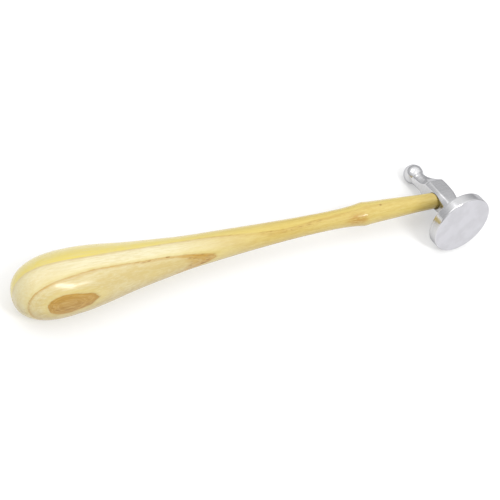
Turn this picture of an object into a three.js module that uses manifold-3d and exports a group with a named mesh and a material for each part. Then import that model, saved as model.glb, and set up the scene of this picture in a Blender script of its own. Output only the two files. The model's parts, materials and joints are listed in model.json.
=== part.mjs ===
// A jeweller's chasing hammer: one forged and polished steel head, with a flat round face and a
// ball peen, on a slim turned ash handle that a wooden and a steel wedge lock in the head's eye.
// Millimetres, +Z up. The hammer lies at rest on z = 0, on its bulb, its face's rim and its ball.
import * as THREE from 'three';
import { mergeVertices } from 'three/addons/utils/BufferGeometryUtils.js';
import Module from 'manifold-3d';

const wasm = await Module();
wasm.setup();

// Driving dimensions. Lengths on the head are measured from the handle's axis, towards the face.
const FACE_DIAMETER = 32;
const FACE_THICKNESS = 5.25;
const FACE_REACH = 20.8;
const FACE_EDGE_BEVEL = 0.45;
const BALL_REACH = 21.75;
const BALL_DIAMETER = 10.2;
const HANDLE_REACH = 219.7;
const HANDLE_BOW = 2.9;
const FITTING_GAP = 0.3;

// The face's back is coned a little, and a wide fillet joins it to the neck.
const BACK_CONE = 0.5;
const FACE_NECK_RADIUS = 4.7;
const FILLET_SPREAD = 1.4;

// The head's section at each station along its axis: how far it reaches to the handle's side
// (under), away from it (top) and to each cheek, and how much its lower and upper corners are cut.
const HEAD_STATIONS = [
  { at: -17.2, under: 3.75, top: 3.8, cheek: 3.75, lowerCut: 2.2, upperCut: 2.2 },
  { at: -14.6, under: 3.4, top: 4.2, cheek: 3.75, lowerCut: 2.1, upperCut: 2.0 },
  { at: -12.2, under: 3.1, top: 5.3, cheek: 4.0, lowerCut: 2.1, upperCut: 1.5 },
  { at: -10.1, under: 2.8, top: 6.6, cheek: 4.6, lowerCut: 1.9, upperCut: 0.9 },
  { at: -8.2, under: 2.7, top: 7.8, cheek: 5.25, lowerCut: 1.7, upperCut: 0.4 },
  { at: 0, under: 2.75, top: 7.5, cheek: 5.25, lowerCut: 1.5, upperCut: 0.4 },
  { at: 5.5, under: 3.1, top: 6.5, cheek: 5.1, lowerCut: 2.1, upperCut: 0.6 },
  { at: 10, under: 3.9, top: 5.2, cheek: 4.8, lowerCut: 2.4, upperCut: 1.8 },
  { at: 13, under: 4.6, top: 4.8, cheek: 4.7, lowerCut: 2.75, upperCut: 2.75 },
];
const BLOCK_EDGE = -8.2;
const NECK_END = 13;

// The handle's radius along its axis, measured from the head's axis towards the bulb.
const HANDLE_STATIONS = [
  [3.05, 3.7],
  [3.5, 4.05],
  [13, 4.3],
  [28, 5.0],
  [36, 5.3],
  [41.5, 5.58],
  [45, 5.82],
  [48.5, 5.38],
  [52, 5.02],
  [58, 4.7],
  [66, 4.58],
  [80, 4.75],
  [102, 5.53],
  [124, 6.68],
  [139, 7.55],
  [153, 9.0],
  [168, 10.85],
  [182, 13.0],
  [190, 13.85],
  [197.2, 14.1],
];
const BULB_FULLNESS = 2.4;

// The tenon is the handle's end inside the eye, an oval that is longer along the head's axis.
const TENON_ALONG = 3.95;
const TENON_ACROSS = 3.35;
const TENON_TOP = 7.4;
const KERF = { width: 1.5, depth: 6.6 };
const WOODEN_WEDGE = { top: 0.9, tip: 0.3, depth: 6.1 };
const STEEL_WEDGE = { top: 1.0, tip: 0.35, depth: 4.4, width: 4.4 };

const HEAD_SEGMENTS = 48;
const BALL_STEPS = 12;
const NECK_STEPS = 8;
const BLOCK_STEPS = 14;
const FILLET_STEPS = 5;
const HANDLE_SEGMENTS = 32;
const STATION_STEPS = 2;
const BULB_STEPS = 8;

// A smooth curve through [position, value] pairs that never overshoots them.
function through(pairs) {
  const slopes = pairs.slice(1).map(([x, y], i) => (y - pairs[i][1]) / (x - pairs[i][0]));
  const tangents = pairs.map((pair, i) => {
    const before = slopes[i - 1] ?? slopes[i];
    const after = slopes[i] ?? before;
    return before * after <= 0 ? 0 : (2 * before * after) / (before + after);
  });
  return (x) => {
    const last = pairs.length - 2;
    const i = Math.min(Math.max(pairs.findIndex((pair) => pair[0] > x) - 1, 0), last);
    const k = x >= pairs[last][0] ? last : i;
    const width = pairs[k + 1][0] - pairs[k][0];
    const t = THREE.MathUtils.clamp((x - pairs[k][0]) / width, 0, 1);
    const rise = pairs[k + 1][1] - pairs[k][1];
    const start = width * tangents[k];
    const end = width * tangents[k + 1];
    const curve = (start + end - 2 * rise) * t ** 3 + (3 * rise - 2 * start - end) * t ** 2;
    return pairs[k][1] + start * t + curve;
  };
}

// A closed three.js mesh as a solid that can be cut and joined.
function solid(geometry) {
  const bare = geometry.clone();
  bare.deleteAttribute('normal');
  bare.deleteAttribute('uv');
  const merged = mergeVertices(bare, 1e-4);
  return new wasm.Manifold(
    new wasm.Mesh({
      numProp: 3,
      vertProperties: new Float32Array(merged.attributes.position.array),
      triVerts: new Uint32Array(merged.index.array),
    }),
  );
}

function named(name, body, material) {
  const { vertProperties, triVerts } = body.getMesh();
  const geometry = new THREE.BufferGeometry();
  geometry.setAttribute('position', new THREE.BufferAttribute(vertProperties, 3));
  geometry.setIndex(new THREE.BufferAttribute(triVerts, 1));
  geometry.computeVertexNormals();
  const mesh = new THREE.Mesh(geometry, material);
  mesh.name = name;
  return mesh;
}

// An oval bar along X, from one end to the other, for the eye and the tenon.
function ovalBar(along, across, from, to) {
  const bar = new THREE.CylinderGeometry(1, 1, to - from, 48);
  bar.rotateZ(-Math.PI / 2);
  bar.scale(1, along, across);
  bar.translate((from + to) / 2, 0, 0);
  return bar;
}

// The radius of the head's section in one direction: a polygon of eight flats, whose corners a
// high power leaves crisp on the eye block and a low power rounds off on the necks.
const stationCurve = (key) => through(HEAD_STATIONS.map((station) => [station.at, station[key]]));
const under = stationCurve('under');
const top = stationCurve('top');
const cheek = stationCurve('cheek');
const lowerCut = stationCurve('lowerCut');
const upperCut = stationCurve('upperCut');

function sectionRadius(angle, at) {
  const lower = (under(at) + cheek(at) - lowerCut(at)) * Math.SQRT1_2;
  const upper = (top(at) + cheek(at) - upperCut(at)) * Math.SQRT1_2;
  const flats = [top(at), upper, cheek(at), lower, under(at), lower, cheek(at), upper];
  const blockness = 1 - Math.min(Math.abs(at + 2) / 14, 1);
  const power = 8 + 40 * blockness;
  const sum = flats.reduce((total, distance, i) => {
    const facing = Math.max(Math.cos(angle - (i * Math.PI) / 4), 0);
    return total + (facing / distance) ** power;
  }, 0);
  return sum ** (-1 / power);
}

// Half of the turned blank's outline, from the ball's pole to the middle of the face. The eye
// block's stretch is a plain bar here, because its section is shaped afterwards.
function headProfile() {
  const ballRadius = BALL_DIAMETER / 2;
  const waist = HEAD_STATIONS[0];
  const ballTurn = Math.PI - Math.asin(waist.cheek / ballRadius);
  const points = [];
  for (let i = 0; i <= BALL_STEPS; i += 1) {
    const turn = (ballTurn * i) / BALL_STEPS;
    points.push([ballRadius * Math.sin(turn), -BALL_REACH - ballRadius * Math.cos(turn)]);
  }
  points.push([waist.cheek, waist.at]);
  for (let i = 1; i <= NECK_STEPS; i += 1) {
    points.push([waist.cheek, THREE.MathUtils.lerp(waist.at, BLOCK_EDGE, i / NECK_STEPS)]);
  }
  for (let i = 1; i <= BLOCK_STEPS; i += 1) {
    points.push([waist.cheek, THREE.MathUtils.lerp(BLOCK_EDGE, NECK_END, i / BLOCK_STEPS)]);
  }
  const back = FACE_REACH - FACE_THICKNESS;
  const filletDepth = back - BACK_CONE - NECK_END;
  for (let i = 1; i <= FILLET_STEPS; i += 1) {
    const turn = (Math.PI / 2) * (i / FILLET_STEPS);
    const spread = filletDepth * FILLET_SPREAD * (1 - Math.cos(turn));
    points.push([FACE_NECK_RADIUS + spread, NECK_END + filletDepth * Math.sin(turn)]);
  }
  const rim = FACE_DIAMETER / 2;
  points.push([rim - FACE_EDGE_BEVEL, back]);
  points.push([rim, back + FACE_EDGE_BEVEL]);
  points.push([rim, FACE_REACH - FACE_EDGE_BEVEL]);
  points.push([rim - FACE_EDGE_BEVEL, FACE_REACH]);
  points.push([0, FACE_REACH]);
  return points.map(([radius, at]) => new THREE.Vector2(radius, at));
}

// The head is turned about its axis, Y, and its middle is forged to the eye block's section.
function hammerHead() {
  const blank = new THREE.LatheGeometry(headProfile(), HEAD_SEGMENTS);
  const position = blank.getAttribute('position');
  for (let i = 0; i < position.count; i += 1) {
    const at = position.getY(i);
    if (at < HEAD_STATIONS[0].at + 0.01 || at > NECK_END + 0.01) {
      continue;
    }
    const angle = Math.atan2(position.getZ(i), position.getX(i));
    const radius = sectionRadius(angle, at);
    position.setX(i, radius * Math.cos(angle));
    position.setZ(i, radius * Math.sin(angle));
  }
  blank.rotateX(Math.PI);
  const eye = ovalBar(TENON_ALONG + FITTING_GAP, TENON_ACROSS + FITTING_GAP, -12, 16);
  const body = solid(blank).subtract(solid(eye));
  const steel = new THREE.MeshStandardMaterial({ color: 0xcfd0d6, metalness: 1, roughness: 0.18 });
  return named('hammer_head', body, steel);
}

// The handle is turned about its own axis, from the tenon's end to the bulb's tip.
function handleProfile() {
  const radiusAt = through(HANDLE_STATIONS);
  const [[shoulder], ...shaft] = HANDLE_STATIONS;
  const [bulbCentre, bulbRadius] = shaft.at(-1);
  const points = [
    [0, -TENON_TOP],
    [TENON_ALONG, -TENON_TOP],
    [TENON_ALONG, shoulder],
  ];
  for (let i = 0; i < STATION_STEPS * (shaft.length - 1); i += 1) {
    const before = Math.floor(i / STATION_STEPS);
    const share = (i % STATION_STEPS) / STATION_STEPS;
    const at = THREE.MathUtils.lerp(shaft[before][0], shaft[before + 1][0], share);
    points.push([radiusAt(at), at]);
  }
  const roundness = 2 / BULB_FULLNESS;
  for (let i = 0; i < BULB_STEPS; i += 1) {
    const turn = (Math.PI / 2) * (i / BULB_STEPS);
    const reach = (HANDLE_REACH - bulbCentre) * Math.sin(turn) ** roundness;
    points.push([bulbRadius * Math.cos(turn) ** roundness, bulbCentre + reach]);
  }
  points.push([0, HANDLE_REACH]);
  return points.map(([radius, at]) => new THREE.Vector2(radius, at));
}

// The turned blank is laid along X, its tenon is pared to the eye's oval, and the shaft takes the
// light bow of seasoned wood. The saw kerf and the steel wedge's slot are cut in the tenon's end.
function handle() {
  const blank = new THREE.LatheGeometry(handleProfile(), HANDLE_SEGMENTS);
  blank.rotateZ(Math.PI / 2);
  const position = blank.getAttribute('position');
  for (let i = 0; i < position.count; i += 1) {
    const at = -position.getX(i);
    if (at <= HANDLE_STATIONS[0][0]) {
      position.setZ(i, (position.getZ(i) * TENON_ACROSS) / TENON_ALONG);
    }
    const share = Math.max(at, 0) / HANDLE_REACH;
    position.setY(i, position.getY(i) + HANDLE_BOW * 4 * share * (1 - share));
  }
  const kerf = new THREE.BoxGeometry(2 * KERF.depth, 4 * TENON_ALONG, KERF.width);
  kerf.translate(TENON_TOP, 0, 0);
  const body = solid(blank).subtract(solid(kerf)).subtract(solid(steelWedgeSlot()));
  const ash = new THREE.MeshStandardMaterial({ color: 0xe3c98a, metalness: 0, roughness: 0.4 });
  return named('handle', body, ash);
}

// A wedge that fills the tenon's end, thin in one direction and as wide as it is told.
function wedgeBlank({ top: topWidth, tip, depth }, width) {
  const outline = new THREE.Shape();
  outline.moveTo(0, -topWidth / 2);
  outline.lineTo(0, topWidth / 2);
  outline.lineTo(-depth, tip / 2);
  outline.lineTo(-depth, -tip / 2);
  const wedge = new THREE.ExtrudeGeometry(outline, { depth: width, bevelEnabled: false });
  wedge.translate(TENON_TOP, 0, -width / 2);
  return wedge;
}

function steelWedgeSlot() {
  const slot = new THREE.BoxGeometry(
    2 * (STEEL_WEDGE.depth + FITTING_GAP),
    STEEL_WEDGE.top + 2 * FITTING_GAP,
    STEEL_WEDGE.width + 2 * FITTING_GAP,
  );
  slot.translate(TENON_TOP, 0, 0);
  return slot;
}

// The wooden wedge fills the kerf, and the steel wedge crosses it at a right angle.
function woodenWedge() {
  const blank = wedgeBlank(WOODEN_WEDGE, 4 * TENON_ALONG);
  blank.rotateX(Math.PI / 2);
  const tenon = ovalBar(TENON_ALONG, TENON_ACROSS, -TENON_TOP, 2 * TENON_TOP);
  const body = solid(blank).intersect(solid(tenon)).subtract(solid(steelWedgeSlot()));
  const beech = new THREE.MeshStandardMaterial({ color: 0xb98a55, metalness: 0, roughness: 0.6 });
  return named('wooden_wedge', body, beech);
}

function steelWedge() {
  const blank = wedgeBlank(STEEL_WEDGE, STEEL_WEDGE.width);
  const iron = new THREE.MeshStandardMaterial({ color: 0x84858a, metalness: 1, roughness: 0.4 });
  return named('steel_wedge', solid(blank), iron);
}

// At rest the head rolls about the handle until the face's back rim and the ball both touch z = 0,
// and the handle then pitches up to its bulb, which is thicker than the head's axis is high.
function restingTurn() {
  const rim = FACE_DIAMETER / 2;
  const back = FACE_REACH - FACE_THICKNESS + FACE_EDGE_BEVEL;
  const span = Math.hypot(back + BALL_REACH, rim);
  const roll = Math.atan2(rim, back + BALL_REACH) - Math.asin(BALL_DIAMETER / 2 / span);
  const axisHeight = rim * Math.cos(roll) - back * Math.sin(roll);
  const [bulbCentre, bulbRadius] = HANDLE_STATIONS.at(-1);
  const pitch = Math.asin((bulbRadius - axisHeight) / bulbCentre);
  return { roll, pitch };
}

const { roll, pitch } = restingTurn();
const hammer = new THREE.Group();
hammer.add(hammerHead(), handle(), woodenWedge(), steelWedge());
hammer.rotation.x = -roll;

const resting = new THREE.Group();
resting.add(hammer);
resting.rotation.y = pitch;

// The origin is the middle of the box's underside.
const chasingHammer = new THREE.Group();
chasingHammer.add(resting);
const box = new THREE.Box3().setFromObject(resting, true);
const middle = box.getCenter(new THREE.Vector3());
resting.position.set(-middle.x, -middle.y, -box.min.z);

export default chasingHammer;
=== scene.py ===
"""A jeweller's chasing hammer lying on a pale table: a polished steel head with a flat round
face and a ball peen, on a turned and lacquered ash handle that two wedges hold in the eye."""

import json

import bmesh
import bpy
from math import acos, asin, atan2, cos, pi, radians, sin, sqrt
from mathutils import Matrix, Vector


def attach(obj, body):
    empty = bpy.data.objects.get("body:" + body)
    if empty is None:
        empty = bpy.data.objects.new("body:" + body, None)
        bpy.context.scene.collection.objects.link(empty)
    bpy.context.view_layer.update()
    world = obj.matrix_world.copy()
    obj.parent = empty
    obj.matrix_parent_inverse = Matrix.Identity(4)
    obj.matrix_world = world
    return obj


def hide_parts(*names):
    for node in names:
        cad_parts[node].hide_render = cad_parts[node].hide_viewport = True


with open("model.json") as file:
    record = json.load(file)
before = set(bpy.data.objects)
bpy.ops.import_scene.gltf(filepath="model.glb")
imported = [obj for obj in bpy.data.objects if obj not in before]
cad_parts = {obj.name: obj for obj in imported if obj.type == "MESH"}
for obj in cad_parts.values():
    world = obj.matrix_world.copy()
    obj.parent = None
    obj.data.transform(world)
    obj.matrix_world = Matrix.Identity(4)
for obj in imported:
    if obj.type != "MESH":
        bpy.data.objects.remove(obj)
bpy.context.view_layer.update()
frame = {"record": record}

# ---------------------------------------------------------------------------------------------
# How the hammer lies. Its own frame has the middle of the eye as origin, X from the bulb to the
# head, the face towards -Y, the ball towards +Y and Z through the cheeks. The face's mount says
# where that frame is: the head rolls about the handle, and the handle pitches up to its bulb.

MM = 0.001
FACE_REACH = 20.8

face = frame["record"]["mounts"][0]
face_normal = Vector(face["axis"])
eye_middle = Vector(face["pos_m"]) - face_normal * FACE_REACH * MM
roll = acos(-face_normal.y)
pitch = atan2(face_normal.x, face_normal.z)
lying = Matrix.Rotation(pitch, 4, "Y") @ Matrix.Rotation(-roll, 4, "X")
hammer_frame = Matrix.Translation(eye_middle) @ lying @ Matrix.Scale(MM, 4)

# ---------------------------------------------------------------------------------------------
# The camera stands half a metre off, above the handle's bulb and on the face's side, so the
# hammer runs from the near left to the far right. Its place is in millimetres in that frame.

CAMERA_PLACE = Vector((-318.3, -285.3, 296.4))
CAMERA_TARGET = Vector((-123.8, -21.6, 18.0))
CAMERA_UP = Vector((0.201, 0.637, 0.744))
CAMERA_LENS = 73.1

backwards = (CAMERA_PLACE - CAMERA_TARGET).normalized()
rightwards = CAMERA_UP.cross(backwards).normalized()
upwards = backwards.cross(rightwards)
turn = Matrix((rightwards, upwards, backwards)).transposed().to_4x4()

camera_data = bpy.data.cameras.new("camera")
camera_data.lens = CAMERA_LENS
camera_data.sensor_width = 36
camera_data.clip_start = 0.01
camera = bpy.data.objects.new("camera", camera_data)
camera.matrix_world = Matrix.Translation(hammer_frame @ CAMERA_PLACE) @ lying @ turn
bpy.context.scene.collection.objects.link(camera)
bpy.context.scene.camera = camera

# ---------------------------------------------------------------------------------------------
# The table is one broad pale sheet that glows a little, as a light table does. The room is a pale
# dome, greyer near the horizon so that the steel has something to mirror. A strip lamp stands over
# the handle's near side, and a wide soft box, as a window, hangs high on the ball's side.

TABLE_SIDE = 4.0
TABLE_GLOW = 0.34
ROOM_BRIGHTNESS = 1.0

bm = bmesh.new()
bmesh.ops.create_grid(bm, x_segments=8, y_segments=8, size=TABLE_SIDE / 2)
table_mesh = bpy.data.meshes.new("table")
bm.to_mesh(table_mesh)
bm.free()
table = bpy.data.objects.new("table", table_mesh)
bpy.context.scene.collection.objects.link(table)


class Wire:
    """An output of a shader node. Operators on it add Math nodes, and node() adds any other."""

    def __init__(self, tree, socket=None):
        self.tree = tree
        self.socket = socket

    def node(self, kind, settings=None, sockets=None, output=0):
        made = self.tree.nodes.new(kind)
        for name, value in (settings or {}).items():
            if name == "stops":
                ramp = made.color_ramp
                while len(ramp.elements) < len(value):
                    ramp.elements.new(1)
                for element, (place, color) in zip(ramp.elements, value):
                    element.position = place
                    element.color = (*color, 1)
            else:
                setattr(made, name, value)
        for name, value in (sockets or {}).items():
            if isinstance(value, Wire):
                self.tree.links.new(value.socket, made.inputs[name])
            else:
                made.inputs[name].default_value = value
        return Wire(self.tree, made.outputs[output] if made.outputs else None)

    def maths(self, operation, first, second=0.0):
        return self.node("ShaderNodeMath", {"operation": operation}, {0: first, 1: second})

    def __add__(self, other):
        return self.maths("ADD", self, other)

    def __radd__(self, other):
        return self.maths("ADD", other, self)

    def __sub__(self, other):
        return self.maths("SUBTRACT", self, other)

    def __rsub__(self, other):
        return self.maths("SUBTRACT", other, self)

    def __mul__(self, other):
        return self.maths("MULTIPLY", self, other)

    def __rmul__(self, other):
        return self.maths("MULTIPLY", other, self)

    def __truediv__(self, other):
        return self.maths("DIVIDE", self, other)

    def part(self, axis):
        """One of a vector's three numbers, by its letter."""
        return self.node("ShaderNodeSeparateXYZ", {}, {"Vector": self}, output=axis)

    def scaled(self, x, y, z):
        """A vector with each of its numbers multiplied."""
        settings = {"operation": "MULTIPLY"}
        return self.node("ShaderNodeVectorMath", settings, {0: self, 1: (x, y, z)})

    def step(self, low, high):
        """Rises smoothly from 0 to 1 while this value goes from low to high."""
        settings = {"interpolation_type": "SMOOTHSTEP"}
        sockets = {"Value": self, "From Min": low, "From Max": high}
        return self.node("ShaderNodeMapRange", settings, sockets)

    def noise(self, scale=1.0, detail=2.0, roughness=0.5):
        """Soft noise from 0 to 1 at this vector."""
        sockets = {"Vector": self, "Scale": scale, "Detail": detail, "Roughness": roughness}
        return self.node("ShaderNodeTexNoise", {}, sockets)

    def close_to(self, point, inner, outer):
        """1 near a point, and 0 further from it than the outer distance."""
        settings = {"operation": "DISTANCE"}
        away = self.node("ShaderNodeVectorMath", settings, {0: self, 1: point}, output="Value")
        return 1 - away.step(inner, outer)

    def mix(self, first, second):
        """The first colour where this mask is 0, and the second where it is 1."""
        sockets = {"Factor": self, 6: first, 7: second}
        return self.node("ShaderNodeMix", {"data_type": "RGBA"}, sockets, output=2)


def new_material(name):
    material = bpy.data.materials.new(name)
    material.use_nodes = True
    material.node_tree.nodes.clear()
    return material, Wire(material.node_tree)


def finish_material(paint, sockets):
    shader = paint.node("ShaderNodeBsdfPrincipled", {}, sockets)
    paint.node("ShaderNodeOutputMaterial", {}, {"Surface": shader})


table_paint, paint = new_material("white_sheet")
where = paint.node("ShaderNodeTexCoord", output="Object")
tone = where.noise(scale=3, detail=3)
finish_material(
    paint,
    {
        "Base Color": tone.mix((0.53, 0.53, 0.53, 1), (0.57, 0.57, 0.57, 1)),
        "Roughness": 0.8,
        "Specular IOR Level": 0.1,
        "Emission Color": (1, 1, 1, 1),
        "Emission Strength": TABLE_GLOW,
    },
)
table_mesh.materials.append(table_paint)

room = bpy.data.worlds.new("room")
room.use_nodes = True
room.node_tree.nodes.clear()
bpy.context.scene.world = room
air = Wire(room.node_tree)
height = air.node("ShaderNodeTexCoord", output="Generated").part("Z")
dome_stops = [
    (0.0, (1.0, 1.0, 1.0)),
    (0.48, (1.0, 1.0, 1.0)),
    (0.52, (0.54, 0.54, 0.55)),
    (0.70, (0.72, 0.72, 0.73)),
    (0.82, (1.10, 1.10, 1.10)),
    (1.0, (1.50, 1.50, 1.50)),
]
dome = air.node("ShaderNodeValToRGB", {"stops": dome_stops}, {"Fac": height * 0.5 + 0.5})
sky = air.node("ShaderNodeBackground", {}, {"Color": dome, "Strength": ROOM_BRIGHTNESS})
air.node("ShaderNodeOutputWorld", {}, {"Surface": sky})
bpy.context.scene.view_settings.view_transform = "Standard"


def soft_box(name, target, direction, distance, long_way, size, brightness):
    """A rectangular lamp that stands off its target, faces it, and is long in one direction."""
    lamp = bpy.data.lights.new(name, "AREA")
    lamp.shape = "RECTANGLE"
    lamp.size, lamp.size_y = size
    lamp.energy = brightness * pi * size[0] * size[1]
    away = Vector(direction).normalized()
    across = away.cross(Vector(long_way)).normalized()
    turn = Matrix((across.cross(away), across, away)).transposed().to_4x4()
    stand = bpy.data.objects.new(name, lamp)
    stand.matrix_world = Matrix.Translation(target + away * distance) @ turn
    bpy.context.scene.collection.objects.link(stand)


soft_box(
    "strip_light",
    target=hammer_frame @ Vector((-200, 0, 0)),
    direction=(0.24, -0.59, 0.77),
    distance=1.1,
    long_way=(0.61, -0.52, -0.50),
    size=(0.6, 0.17),
    brightness=15,
)
soft_box(
    "window_light",
    target=eye_middle,
    direction=(-0.44, 0.36, 0.82),
    distance=1.2,
    long_way=(1, 0.5, 0),
    size=(0.9, 0.7),
    brightness=1.15,
)

# ---------------------------------------------------------------------------------------------
# The head is one steel forging. The face, the neck and the ball are turned, the eye block between
# them is forged and ground to flats, and all of it is polished but for the face, which is satin.
# Lengths are in millimetres along the head's axis, from the handle's axis towards the face.

FACE_RADIUS = 16.0
FACE_THICKNESS = 5.25
FACE_BEVEL = 0.45
BACK_CONE = 0.5
FACE_NECK_RADIUS = 4.7
FILLET_SPREAD = 1.4
BALL_REACH = 21.75
BALL_RADIUS = 5.1
HEAD_SEGMENTS = 240
BALL_STEPS, NECK_STEPS, FILLET_STEPS, RIM_STEPS = 44, 110, 12, 6

# How far from the rims' bevels the rings of points stand that keep the flats flat (the two on a
# flat, and the one down the side), how high the back's cone still is at the inner of its two, and
# how close two places along an axis are when they count as one.
NEAR_EDGE, OFF_EDGE, DOWN_SIDE = 0.1, 0.6, 0.2
CONE_END = 0.03
SAME_PLACE = 0.01

EYE_ALONG = 4.25
EYE_ACROSS = 3.65
EYE_CHAMFER = 0.35

# How far the section reaches to the handle's side (under), away from it (top) and to each cheek,
# and how much of its lower and upper corners is cut off, at stations along the axis.
HEAD_STATIONS = [
    # at, under, top, cheek, lower cut, upper cut
    (-17.2, 3.75, 3.8, 3.75, 2.2, 2.2),
    (-14.6, 3.4, 4.2, 3.75, 2.1, 2.0),
    (-12.2, 3.1, 5.3, 4.0, 2.1, 1.5),
    (-10.1, 2.8, 6.6, 4.6, 1.9, 0.9),
    (-8.2, 2.7, 7.8, 5.25, 1.7, 0.4),
    (0.0, 2.75, 7.5, 5.25, 1.5, 0.4),
    (5.5, 3.1, 6.5, 5.1, 2.1, 0.6),
    (10.0, 3.9, 5.2, 4.8, 2.4, 1.8),
    (13.0, 4.6, 4.8, 4.7, 2.75, 2.75),
]
WAIST, NECK_END = HEAD_STATIONS[0][0], HEAD_STATIONS[-1][0]

# The corners are crispest in the eye block and soften on both sides of it.
SOFTEST, ADDED_CRISPNESS = 8, 40
CRISPEST_AT, CRISP_REACH = -2, 14


def through(pairs):
    """A smooth curve through (place, value) pairs that never overshoots them."""
    gaps = list(zip(pairs, pairs[1:]))
    slopes = [(b[1] - a[1]) / (b[0] - a[0]) for a, b in gaps]
    befores, afters = slopes[:1] + slopes, slopes + slopes[-1:]
    tangents = [0 if a * b <= 0 else 2 * a * b / (a + b) for a, b in zip(befores, afters)]

    def value(place):
        k = 0
        while k < len(gaps) - 1 and place >= pairs[k + 1][0]:
            k += 1
        (start, low), (end, high) = gaps[k]
        width = end - start
        t = min(max((place - start) / width, 0), 1)
        rise = high - low
        leave, arrive = width * tangents[k], width * tangents[k + 1]
        cubic = (leave + arrive - 2 * rise) * t**3
        return low + leave * t + (3 * rise - 2 * leave - arrive) * t**2 + cubic

    return value


def evenly(start, end, count):
    """Places from start to end, without the first."""
    return [start + (end - start) * (i + 1) / count for i in range(count)]


under, top, cheek, lower_cut, upper_cut = (
    through([(station[0], station[k]) for station in HEAD_STATIONS]) for k in range(1, 6)
)


def head_section(at):
    """The section's eight flats and how crisp its corners are, at a place on the head's axis."""
    lower = (under(at) + cheek(at) - lower_cut(at)) * sqrt(0.5)
    upper = (top(at) + cheek(at) - upper_cut(at)) * sqrt(0.5)
    flats = [top(at), upper, cheek(at), lower, under(at), lower, cheek(at), upper]
    crispness = SOFTEST + ADDED_CRISPNESS * (1 - min(abs(at - CRISPEST_AT) / CRISP_REACH, 1))
    return flats, crispness


def section_radius(angle, flats, crispness):
    total = 0
    for k, distance in enumerate(flats):
        facing = cos(angle - k * pi / 4)
        if facing > 0:
            total += (facing / distance) ** crispness
    return total ** (-1 / crispness)


def head_outline():
    """Half of the turned head's outline, as (radius, at), from the ball's pole to the face."""
    waist_radius = HEAD_STATIONS[0][3]
    ball_turn = pi - asin(waist_radius / BALL_RADIUS)
    points = [(0, -BALL_REACH - BALL_RADIUS)]
    for turned in evenly(0, ball_turn, BALL_STEPS):
        points.append((BALL_RADIUS * sin(turned), -BALL_REACH - BALL_RADIUS * cos(turned)))
    points.append((waist_radius, WAIST))
    points += [(waist_radius, at) for at in evenly(WAIST, NECK_END, NECK_STEPS)]
    back = FACE_REACH - FACE_THICKNESS
    depth = back - BACK_CONE - NECK_END
    for turned in evenly(0, pi / 2, FILLET_STEPS):
        spread = depth * FILLET_SPREAD * (1 - cos(turned))
        points.append((FACE_NECK_RADIUS + spread, NECK_END + depth * sin(turned)))
    rim = FACE_RADIUS - FACE_BEVEL
    points += [(rim - OFF_EDGE, back - CONE_END), (rim - NEAR_EDGE, back)]
    for turned in evenly(0, pi / 2, RIM_STEPS):
        points.append((rim + FACE_BEVEL * sin(turned), back + FACE_BEVEL * (1 - cos(turned))))
    points.append((FACE_RADIUS, back + FACE_BEVEL + DOWN_SIDE))
    points.append((FACE_RADIUS, FACE_REACH - FACE_BEVEL - DOWN_SIDE))
    for turned in evenly(0, pi / 2, RIM_STEPS):
        points.append((rim + FACE_BEVEL * cos(turned), FACE_REACH - FACE_BEVEL * (1 - sin(turned))))
    points += [(rim - NEAR_EDGE, FACE_REACH), (rim - OFF_EDGE, FACE_REACH), (0, FACE_REACH)]
    return points


def turned_blank(outline, axis, segments):
    """A closed solid of revolution in a bmesh: (radius, along) points spun about X or Y."""
    made = bmesh.new()
    if axis == "X":
        line = [made.verts.new((-along, radius, 0)) for radius, along in outline]
    else:
        line = [made.verts.new((radius, -along, 0)) for radius, along in outline]
    edges = [made.edges.new(pair) for pair in zip(line, line[1:])]
    spin_axis = (1, 0, 0) if axis == "X" else (0, 1, 0)
    bmesh.ops.spin(
        made,
        geom=line + edges,
        cent=(0, 0, 0),
        axis=spin_axis,
        angle=2 * pi,
        steps=segments,
        use_merge=True,
    )
    bmesh.ops.remove_doubles(made, verts=made.verts, dist=1e-5)
    bmesh.ops.recalc_face_normals(made, faces=made.faces)
    return made


def new_piece(name, made):
    mesh = bpy.data.meshes.new(name)
    made.to_mesh(mesh)
    made.free()
    piece = bpy.data.objects.new(name, mesh)
    bpy.context.scene.collection.objects.link(piece)
    return piece


def cut(piece, cutter, operation="DIFFERENCE"):
    """Takes the cutter's space out of a piece, or keeps only that, and removes the cutter."""
    boolean = piece.modifiers.new("cut", "BOOLEAN")
    boolean.operation = operation
    boolean.object = cutter
    boolean.solver = "EXACT"
    seen = piece.evaluated_get(bpy.context.evaluated_depsgraph_get())
    mesh = bpy.data.meshes.new_from_object(seen)
    piece.modifiers.clear()
    piece.data = mesh
    bpy.data.objects.remove(cutter)


def close_slivers(piece, width):
    """Merges the points and drops the faces that a cut has left thinner than this."""
    made = bmesh.new()
    made.from_mesh(piece.data)
    bmesh.ops.remove_doubles(made, verts=made.verts, dist=width)
    bmesh.ops.dissolve_degenerate(made, dist=width, edges=made.edges)
    made.to_mesh(piece.data)
    made.free()


def lay_down(piece, corner=32):
    """Moves a piece from the workbench to where it lies, smooth but for corners sharper than this."""
    piece.data.transform(hammer_frame)
    for polygon in piece.data.polygons:
        polygon.use_smooth = True
    piece.data.set_sharp_from_angle(angle=radians(corner))


def own_place(paint):
    """Where a point is in the hammer's own frame, in millimetres."""
    sockets = {
        "Vector": paint.node("ShaderNodeTexCoord", output="Object"),
        "Location": eye_middle,
        "Rotation": lying.to_euler(),
        "Scale": (MM, MM, MM),
    }
    return paint.node("ShaderNodeMapping", {"vector_type": "TEXTURE"}, sockets)


bm = turned_blank(head_outline(), "Y", HEAD_SEGMENTS)
sections = {}
for vert in bm.verts:
    at = round(-vert.co.y, 5)
    if WAIST + SAME_PLACE < at < NECK_END + SAME_PLACE:
        if at not in sections:
            sections[at] = head_section(at)
        angle = atan2(vert.co.z, vert.co.x)
        radius = section_radius(angle, *sections[at])
        vert.co.x = radius * cos(angle)
        vert.co.z = radius * sin(angle)
head = new_piece("forged_head", bm)

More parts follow.
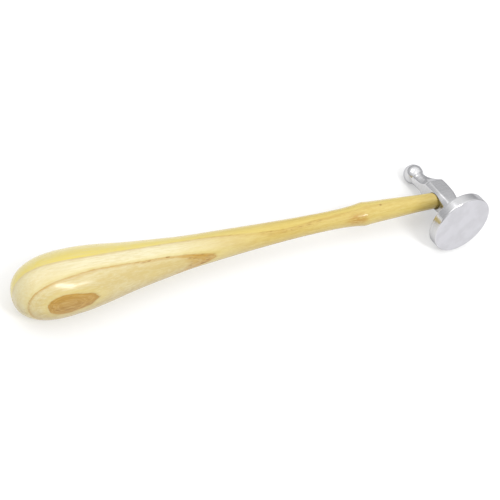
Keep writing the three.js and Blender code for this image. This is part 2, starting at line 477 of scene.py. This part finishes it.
# The drill that opens the eye flares at both mouths, which chamfers them. Its radius is counted
# in eye radii here, because the drill is then scaled to the eye's oval.
DRILL_START, DRILL_END = -12, 9
FLARE, FLARE_REACH = 1.5, 1.2
EYE_SEGMENTS = 96

drill = [(0, DRILL_START), (FLARE, DRILL_START), (FLARE, -top(0) - FLARE_REACH)]
drill += [(1, -top(0) + EYE_CHAMFER), (1, under(0) - EYE_CHAMFER)]
drill += [(FLARE, under(0) + FLARE_REACH), (FLARE, DRILL_END), (0, DRILL_END)]
eye = turned_blank(drill, "X", EYE_SEGMENTS)
bmesh.ops.scale(eye, vec=(1, EYE_ALONG, EYE_ACROSS), verts=eye.verts)
cut(head, new_piece("eye_drill", eye))
close_slivers(head, width=0.005)
lay_down(head)

# The steel has fine polishing lines round the head's axis. The face has an even grit instead, and
# soft clouds.
POLISH_DARK, POLISH_BRIGHT = (0.56, 0.56, 0.57, 1), (0.66, 0.66, 0.67, 1)
CLOUDS_DARK, CLOUDS_BRIGHT = (0.595, 0.59, 0.615, 1), (0.655, 0.65, 0.68, 1)

steel, paint = new_material("polished_steel")
place = own_place(paint)
along = place.part("Y")
on_face = (-1 * along).step(FACE_REACH - 0.06, FACE_REACH - 0.01)
streaks = place.scaled(0.15, 9, 0.15).noise(scale=1, detail=6, roughness=0.7)
smudges = place.noise(scale=0.16, detail=3)
grit = place.noise(scale=6, detail=4, roughness=0.6)
polish = 0.09 + 0.1 * smudges + 0.08 * streaks
satin = 0.36 + 0.12 * smudges
roughness = polish * (1 - on_face) + satin * on_face
bright = streaks.step(0.35, 0.65).mix(POLISH_DARK, POLISH_BRIGHT)
clouded = smudges.step(0.35, 0.65).mix(CLOUDS_DARK, CLOUDS_BRIGHT)
scratches = streaks * (1 - on_face) + grit * on_face
relief = paint.node(
    "ShaderNodeBump", {}, {"Strength": 0.12, "Distance": 0.00005, "Height": scratches}
)
finish_material(
    paint,
    {
        "Base Color": on_face.mix(bright, clouded),
        "Metallic": 1.0,
        "Specular Tint": (0.62, 0.62, 0.64, 1),
        "Roughness": roughness,
        "Normal": relief,
    },
)
head.data.materials.clear()
head.data.materials.append(steel)
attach(head, "root")
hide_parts("hammer_head")

# ---------------------------------------------------------------------------------------------
# The handle is one piece of ash, turned slim with a bead below the neck and a long bulb, bowed a
# little by seasoning, sanded and clear lacquered. Its end is pared to the eye's oval and sawn.
# Lengths are in millimetres from the head's axis towards the bulb.

HANDLE_REACH = 219.7
HANDLE_BOW = 2.9
HANDLE_SEGMENTS = 160
HANDLE_STATIONS = [
    # distance, radius
    (3.05, 3.7),
    (3.5, 4.05),
    (13.0, 4.3),
    (28.0, 5.0),
    (36.0, 5.3),
    (41.5, 5.58),
    (45.0, 5.82),
    (48.5, 5.38),
    (52.0, 5.02),
    (58.0, 4.7),
    (66.0, 4.58),
    (80.0, 4.75),
    (102.0, 5.53),
    (124.0, 6.68),
    (139.0, 7.55),
    (153.0, 9.0),
    (168.0, 10.85),
    (182.0, 13.0),
    (190.0, 13.85),
    (197.2, 14.1),
]
BULB_START, BULB_RADIUS = HANDLE_STATIONS[-1]
BULB_FULLNESS = 2.4
TENON_ALONG = 4.2
TENON_ACROSS = 3.6
TENON_TOP = 7.4
RELIEF_START, SHOULDER, SHAFT_START = 1.2, 3.1, 3.9
SHOULDER_RADIUS = 3.8
TENON_EDGE = 0.2
TENON_STEPS, RELIEF_STEPS, SHOULDER_STEPS, SHAFT_STEPS, BULB_STEPS = 12, 4, 5, 260, 40
WOODEN_WEDGE = {"thickness": 1.4, "tip": 0.4, "depth": 6.1, "width": 12.0}
STEEL_WEDGE = {"thickness": 1.0, "tip": 0.35, "depth": 4.4, "width": 4.4}
SAW_CLEARANCE = 0.04
FLUSH_CLEARANCE = 0.02


def handle_outline():
    """Half of the turned handle's outline, as (radius, distance), from the tenon's end."""
    radius_at = through(HANDLE_STATIONS)
    edge = -TENON_TOP + TENON_EDGE
    points = [(0, -TENON_TOP), (TENON_ALONG - TENON_EDGE, -TENON_TOP), (TENON_ALONG, edge)]
    points += [(TENON_ALONG, at) for at in evenly(edge, RELIEF_START, TENON_STEPS)]
    points += [(SHOULDER_RADIUS, at) for at in evenly(RELIEF_START, SHOULDER, RELIEF_STEPS)]
    for turned in evenly(0, pi / 2, SHOULDER_STEPS):
        rounded = SHOULDER_RADIUS + (radius_at(SHAFT_START) - SHOULDER_RADIUS) * sin(turned)
        points.append((rounded, SHAFT_START - (SHAFT_START - SHOULDER) * cos(turned)))
    points += [(radius_at(at), at) for at in evenly(SHAFT_START, BULB_START, SHAFT_STEPS)]
    length = HANDLE_REACH - BULB_START
    for turned in evenly(0, pi / 2, BULB_STEPS):
        radius = BULB_RADIUS * max(cos(turned), 0) ** (2 / BULB_FULLNESS)
        points.append((radius, BULB_START + length * sin(turned) ** (2 / BULB_FULLNESS)))
    return points


def bow(at):
    """How far the handle's axis has bent towards the ball, at a place along it."""
    share = min(max(-at, 0) / HANDLE_REACH, 1)
    return HANDLE_BOW * 4 * share * (1 - share)


def wedge_block(sizes, room=0.0):
    """A bmesh of a wedge that points into the tenon's end, or with room round it, its slot."""
    proud = 1.0 if room else 0.0
    depth = sizes["depth"] + room
    made = bmesh.new()
    bmesh.ops.create_cube(made, size=1)
    bmesh.ops.translate(made, vec=(-0.5, 0, 0), verts=made.verts)
    thickness, width = sizes["thickness"] + 2 * room, sizes["width"] + 2 * room
    bmesh.ops.scale(made, vec=(depth + proud, width, thickness), verts=made.verts)
    bmesh.ops.translate(made, vec=(TENON_TOP + proud, 0, 0), verts=made.verts)
    tip = [vert for vert in made.verts if vert.co.x < TENON_TOP]
    bmesh.ops.scale(made, vec=(1, 1, (sizes["tip"] + 2 * room) / thickness), verts=tip)
    return made


def quarter_turned(made):
    """The steel wedge crosses the wooden one."""
    bmesh.ops.rotate(made, cent=(0, 0, 0), matrix=Matrix.Rotation(pi / 2, 3, "X"), verts=made.verts)
    return made


bm = turned_blank(handle_outline(), "X", HANDLE_SEGMENTS)
for vert in bm.verts:
    if -vert.co.x < SHOULDER - SAME_PLACE:
        vert.co.z *= TENON_ACROSS / TENON_ALONG
    vert.co.y += bow(vert.co.x)
handle = new_piece("turned_handle", bm)
cut(handle, new_piece("kerf", wedge_block(WOODEN_WEDGE, SAW_CLEARANCE)))
cut(handle, new_piece("wedge_slot", quarter_turned(wedge_block(STEEL_WEDGE, SAW_CLEARANCE))))
lay_down(handle)

# The ash's growth rings and how thick each is, from the face's side to the ball's. They are counted
# from the ring line that the grip's flame follows, which is this far from the handle's axis before
# the rings bend.
FLAME_RING, PALE_RING, YELLOW_RING, FAR_RING = 3.45, 5.5, 13.5, 4.5
PALE_END = -PALE_RING
YELLOW_END = PALE_END - YELLOW_RING
FLAME_FROM_AXIS = 8.7

# The rings aren't straight. Over these stretches, from the bulb's tip to the head, they bend by
# these amounts, which are set so that the lines lie where they do on the real handle.
GRIP_SWEEP, GRIP_SWEEP_BY = (-222, -140), 4.85
BULB_TURN, BULB_TURN_BY = (-222, -184), 3.4
SHAFT_FALL, SHAFT_FALL_BY = (-138, -88), 2.6
WAIST_RISE, WAIST_RISE_BY = (-102, -62), 1.6

# Where along the handle the wood turns golden, the flame ends, and the ring lines darken and fade.
GOLDEN = (-175, -95)
FLAME_TIP = (-152, -138)
LINES_DARKEN = (-190, -150)
LINES_FADE = (-62, -40)

GRIP_PALE, SHAFT_PALE = (0.60, 0.55, 0.34, 1), (0.57, 0.46, 0.15, 1)
GRIP_WARM, SHAFT_WARM = (0.52, 0.41, 0.17, 1), (0.46, 0.32, 0.07, 1)
CREAM = (0.74, 0.71, 0.52, 1)
# Painted shade colour for the handle's lower side.
PAINTED_SHADE_TAN = (0.36, 0.26, 0.09, 1)
YELLOW = (0.62, 0.51, 0.12, 1)
EARLY_WOOD = (0.42, 0.24, 0.04, 1)
PATCH_GRAIN = (0.27, 0.15, 0.03, 1)
RING_LINE = (0.38, 0.23, 0.04, 1)
PORE = (0.24, 0.12, 0.03, 1)
STAIN = (0.40, 0.22, 0.04, 1)
KNOT = (0.22, 0.10, 0.02, 1)

ash, paint = new_material("lacquered_ash")
place = own_place(paint)
x, y, z = (place.part(axis) for axis in "XYZ")

# How far out in the tree a point grew, which is towards the face's side, and from that which ring
# it is in and how far through that year.
outward = z * 0.08 - y * 0.99
sweep = GRIP_SWEEP_BY * x.step(*GRIP_SWEEP) * (1 - outward.step(7, 11))
bulb_turn = BULB_TURN_BY * (1 - x.step(*BULB_TURN)) * (1 - outward.step(3, 8))
shaft_bend = SHAFT_FALL_BY * x.step(*SHAFT_FALL) - WAIST_RISE_BY * x.step(*WAIST_RISE)
warp = place.scaled(0.02, 0.09, 0.09).noise(scale=1, detail=1) - 0.5
wander = place.scaled(0.09, 0.5, 0.5).noise(scale=1, detail=2) - 0.5
bent = outward + sweep + bulb_turn - shaft_bend
growth = bent - FLAME_FROM_AXIS + warp * 0.5 + wander * 0.5
near, far, deep = (growth.maths("MINIMUM", growth, end) for end in (0, PALE_END, YELLOW_END))
rings = (growth - near) / FLAME_RING + (near - far) / PALE_RING
rings = rings + (far - deep) / YELLOW_RING + (deep - YELLOW_END) / FAR_RING
year = rings.maths("FRACT", rings)

# The bulb shows one more ring as an oval patch. There and at the flame's tip, early wood is broad.
patch = growth.step(FLAME_RING - 0.15, FLAME_RING + 0.05)
tip = x.step(*FLAME_TIP) * growth.step(-1, 0)
early = (1 - year.step(0.05, 0.30 + tip * 0.3 + patch * 0.6)) * year.step(0.0, 0.02)
edge = year.step(0.975, 0.995) + (1 - year.step(0.01, 0.045))
late = year.step(0.62, 0.96)

# Fibres, layers and pores, each at its own scale and drawn out along the handle.
grown = paint.node("ShaderNodeCombineXYZ", {}, {"X": x, "Y": growth, "Z": z})
layers = grown.scaled(0.045, 7.0, 0.3).noise(scale=1, detail=3, roughness=0.6).step(0.36, 0.64)
fibres = place.scaled(0.06, 1.6, 1.6).noise(scale=1, detail=3, roughness=0.6).step(0.34, 0.66)
mottle = place.scaled(0.30, 1.3, 1.3).noise(scale=1, detail=2, roughness=0.6).step(0.36, 0.64)
fine_fibres = place.scaled(0.15, 6.0, 6.0).noise(scale=1, detail=2, roughness=0.6).step(0.34, 0.66)
blotches = place.scaled(0.03, 0.11, 0.11).noise(scale=1, detail=3).step(0.36, 0.64)
bundles = place.scaled(0.07, 0.5, 0.5).noise(scale=1, detail=1).step(0.38, 0.62)
cells = place.scaled(0.30, 2.2, 2.2).noise(scale=1, detail=1, roughness=0.5)
pores = cells.step(0.54, 0.62) * early.maths("MAXIMUM", early, edge * 0.7)
strays = cells.step(0.70, 0.76)

# The wood between the lines: pale on the grip and golden on the shaft, and cream beside the flame.
# The handle's lower side is browned with painted shade.
golden = x.step(*GOLDEN)
pale = golden.mix(GRIP_PALE, SHAFT_PALE)
warm = golden.mix(GRIP_WARM, SHAFT_WARM)
inside = growth.step(0.3, 2.0) * 0.3
grain = fibres * 0.30 + mottle * 0.25 + blotches * 0.25 + layers * 0.2 + inside
color = grain.mix(pale, warm)
between = growth.step(PALE_END, PALE_END + 0.9) * (1 - growth.step(-1.0, 0.0)) * (1 - golden)
between = between * (0.3 + 0.7 * x.step(-216, -190))
color = (between * (0.2 + fibres * 0.4)).mix(color, CREAM)
# Painted shade: the lower side is mixed towards tan, darkened as though it lay in shade.
painted_lower_shade = 1 - z.step(-4.5, 2.0)
color = (painted_lower_shade * (0.35 + mottle * 0.3)).mix(color, PAINTED_SHADE_TAN)

# The rings themselves: the yellow band, browned early wood, ring lines and rows of pores.
mid_shaft = x.step(-112, -100) * (1 - x.step(-72, -56))
past_bead = x.step(*LINES_FADE)
strength = (0.35 + 0.65 * growth.step(-4, -1) + 0.3 * mid_shaft) * (1 - 0.75 * past_bead)
past_cream = 1 - growth.step(PALE_END - 0.2, PALE_END + 0.05)
band = past_cream * growth.step(YELLOW_END - 1, YELLOW_END + 3) * (1 - 0.85 * golden)
color = (late * 0.2 + band * (0.45 + fibres * 0.35)).mix(color, YELLOW)
browning = early * (0.4 + 0.45 * patch + 0.3 * tip + layers * 0.35) * (strength - 0.3 * mid_shaft)
color = browning.mix(color, EARLY_WOOD)
color = (patch * layers * 0.4).mix(color, PATCH_GRAIN)
darker = 0.3 + 0.7 * x.step(*LINES_DARKEN)
color = (edge * (0.15 + bundles * 0.3) * strength * darker).mix(color, RING_LINE)
dark_cells = pores * (0.25 + bundles * 0.5) * strength * (darker + patch * 0.5) + strays * 0.14
color = dark_cells.mix(color, PORE)

# Two marks that the rings don't make: a stain on the bead, and a pin knot just past it.
stain = place.scaled(0.5, 1, 1).close_to((-25.5, -2.6, 1.6), 0.8, 4.4)
color = (stain * (0.4 + mottle * 0.55)).mix(color, STAIN)
pin_knot = place.scaled(0.6, 1, 1).close_to((-22.2, 0.3, 5.1), 0.2, 0.7)
color = (pin_knot * 0.7).mix(color, KNOT)
relief = paint.node(
    "ShaderNodeBump",
    {},
    {
        "Strength": 0.35,
        "Distance": 0.00008,
        "Height": fine_fibres * 0.25 - pores * 0.8 - strays * 0.2,
    },
)
finish_material(
    paint,
    {
        "Base Color": color,
        "Roughness": 0.42 + fine_fibres * 0.1 + pores * 0.15,
        "Specular IOR Level": 0.1,
        "Coat Weight": 0.85 - pores * 0.3,
        "Coat Roughness": 0.18,
        "Coat IOR": 1.5,
        "Normal": relief,
    },
)
handle.data.materials.clear()
handle.data.materials.append(ash)
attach(handle, "root")
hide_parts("handle")

# ---------------------------------------------------------------------------------------------
# The wooden wedge is a slip of darker hardwood, as long as the eye, that is driven into the kerf
# along the head's axis and sawn off flush. It spreads the tenon towards the cheeks.

wooden_wedge = new_piece("driven_wooden_wedge", wedge_block(WOODEN_WEDGE))
oval = [(0, -TENON_TOP - 1), (1, -TENON_TOP - 1), (1, 1), (0, 1)]
bm = turned_blank(oval, "X", HANDLE_SEGMENTS)
inside_tenon = (1, TENON_ALONG - FLUSH_CLEARANCE, TENON_ACROSS - FLUSH_CLEARANCE)
bmesh.ops.scale(bm, vec=inside_tenon, verts=bm.verts)
cut(wooden_wedge, new_piece("tenon_oval", bm), "INTERSECT")
cut(wooden_wedge, new_piece("wedge_slot", quarter_turned(wedge_block(STEEL_WEDGE, SAW_CLEARANCE))))
close_slivers(wooden_wedge, width=0.01)
lay_down(wooden_wedge)

beech, paint = new_material("wedge_wood")
place = own_place(paint)
fibres = place.scaled(0.2, 2.2, 5.0).noise(scale=1, detail=4, roughness=0.6)
flecks = place.scaled(1.2, 5.0, 9.0).noise(scale=1, detail=2).step(0.6, 0.72)
color = fibres.mix((0.50, 0.30, 0.14, 1), (0.33, 0.18, 0.08, 1))
color = (flecks * 0.6).mix(color, (0.20, 0.10, 0.04, 1))
relief = paint.node("ShaderNodeBump", {}, {"Strength": 0.4, "Distance": 0.00006, "Height": fibres})
finish_material(
    paint,
    {
        "Base Color": color,
        "Roughness": 0.5 + fibres * 0.2,
        "Coat Weight": 0.35,
        "Coat Roughness": 0.22,
        "Normal": relief,
    },
)
wooden_wedge.data.materials.clear()
wooden_wedge.data.materials.append(beech)
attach(wooden_wedge, "root")
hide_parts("wooden_wedge")

# ---------------------------------------------------------------------------------------------
# The steel wedge is a small cut of mild steel, driven across the wooden one to lock it. Its end
# keeps the marks of the punch and the file, and it is duller than the head.

WEDGE_EDGE = 0.06

bm = quarter_turned(wedge_block(STEEL_WEDGE))
bmesh.ops.bevel(
    bm,
    geom=bm.edges,
    offset=WEDGE_EDGE,
    segments=2,
    profile=0.5,
    affect="EDGES",
    material=-1,
)
steel_wedge = new_piece("driven_steel_wedge", bm)
lay_down(steel_wedge)

mild_steel, paint = new_material("wedge_steel")
place = own_place(paint)
filing = place.scaled(2.0, 14.0, 1.2).noise(scale=1, detail=4, roughness=0.7)
stain = place.noise(scale=0.9, detail=4)
relief = paint.node("ShaderNodeBump", {}, {"Strength": 0.5, "Distance": 0.00004, "Height": filing})
finish_material(
    paint,
    {
        "Base Color": stain.mix((0.46, 0.45, 0.44, 1), (0.62, 0.61, 0.61, 1)),
        "Metallic": 1.0,
        "Roughness": 0.30 + filing * 0.2,
        "Normal": relief,
    },
)
steel_wedge.data.materials.append(mild_steel)
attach(steel_wedge, "root")
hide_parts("steel_wedge")
